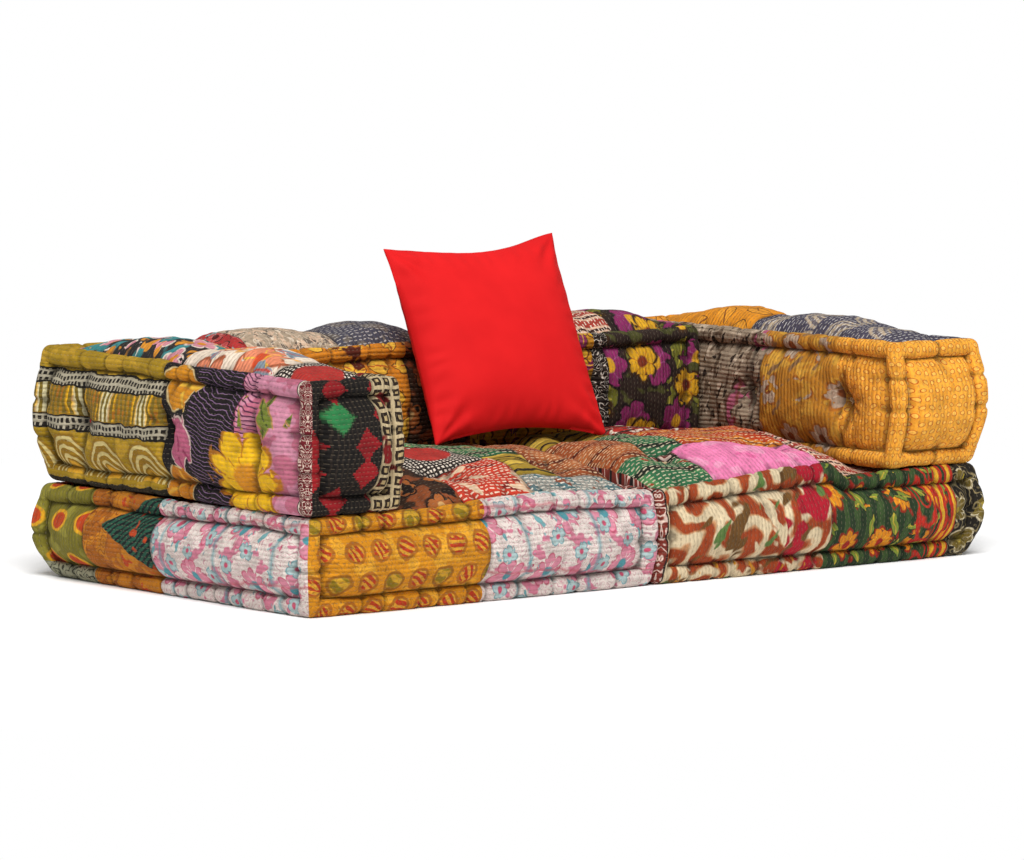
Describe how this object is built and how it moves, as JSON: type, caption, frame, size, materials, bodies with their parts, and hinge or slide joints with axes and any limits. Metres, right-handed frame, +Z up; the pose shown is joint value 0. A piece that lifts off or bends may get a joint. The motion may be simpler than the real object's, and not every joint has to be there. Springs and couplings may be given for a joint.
{
  "type": "modular floor sofa",
  "caption": "Low modular floor sofa of stuffed, tufted patchwork mattress blocks with rolled edges: seats, arms and backs, with a loose square throw cushion.",
  "frame": {"origin": "on the floor, in the middle of the sofa's plan", "axes": "+X along the front to the viewer's right, +Y from the front to the back, +Z up"},
  "size_m": [1.5896, 0.8394, 0.5851],
  "materials": {
    "cotton_filling": "loose matt cotton batting",
    "patchwork_cotton": "matt woven cotton patchwork with running stitch",
    "rolled_edge_cotton": "matt woven cotton over a stuffed roll",
    "plain_lining_cotton": "matt plain woven cotton",
    "tuft_twine": "twisted cotton twine",
    "red_cotton": "matt plain woven cotton",
    "cushion_fibre": "loose fibre filling"
  },
  "bodies": {
    "seat_left": {"seat_left_filling": "cotton_filling", "seat_left_top_panel": "patchwork_cotton", "seat_left_bottom_panel": "plain_lining_cotton", "seat_left_side_panels": "patchwork_cotton", "seat_left_roll_edge": "rolled_edge_cotton", "seat_left_tufts": "tuft_twine"},
    "seat_right": {"seat_right_filling": "cotton_filling", "seat_right_top_panel": "patchwork_cotton", "seat_right_bottom_panel": "plain_lining_cotton", "seat_right_side_panels": "patchwork_cotton", "seat_right_roll_edge": "rolled_edge_cotton", "seat_right_tufts": "tuft_twine"},
    "arm_left": {"arm_left_filling": "cotton_filling", "arm_left_top_panel": "patchwork_cotton", "arm_left_bottom_panel": "plain_lining_cotton", "arm_left_side_panels": "patchwork_cotton", "arm_left_roll_edge": "rolled_edge_cotton", "arm_left_tufts": "tuft_twine"},
    "arm_right": {"arm_right_filling": "cotton_filling", "arm_right_top_panel": "patchwork_cotton", "arm_right_bottom_panel": "plain_lining_cotton", "arm_right_side_panels": "patchwork_cotton", "arm_right_roll_edge": "rolled_edge_cotton", "arm_right_tufts": "tuft_twine"},
    "back_left": {"back_left_filling": "cotton_filling", "back_left_top_panel": "patchwork_cotton", "back_left_bottom_panel": "plain_lining_cotton", "back_left_side_panels": "patchwork_cotton", "back_left_roll_edge": "rolled_edge_cotton", "back_left_tufts": "tuft_twine"},
    "back_right": {"back_right_filling": "cotton_filling", "back_right_top_panel": "patchwork_cotton", "back_right_bottom_panel": "plain_lining_cotton", "back_right_side_panels": "patchwork_cotton", "back_right_roll_edge": "rolled_edge_cotton", "back_right_tufts": "tuft_twine"},
    "cushion": {"cushion_filling": "cushion_fibre", "cushion_front_panel": "red_cotton", "cushion_back_panel": "red_cotton"}
  },
  "joints": [
    {"name": "seat_right_pull_out", "type": "slide", "parent": "seat_left", "child": "seat_right", "axis": [1, 0, 0], "range_m": [0, 0.4]},
    {"name": "arm_left_lift", "type": "slide", "parent": "seat_left", "child": "arm_left", "axis": [0, 0, 1], "range_m": [0, 0.3]},
    {"name": "back_left_pull_back", "type": "slide", "parent": "seat_left", "child": "back_left", "axis": [0, 1, 0], "range_m": [0, 0.3]},
    {"name": "cushion_lift", "type": "slide", "parent": "seat_left", "child": "cushion", "axis": [0, 0, 1], "range_m": [0, 0.3]},
    {"name": "arm_right_lift", "type": "slide", "parent": "seat_right", "child": "arm_right", "axis": [0, 0, 1], "range_m": [0, 0.3]},
    {"name": "back_right_pull_back", "type": "slide", "parent": "seat_right", "child": "back_right", "axis": [0, 1, 0], "range_m": [0, 0.3]}
  ]
}
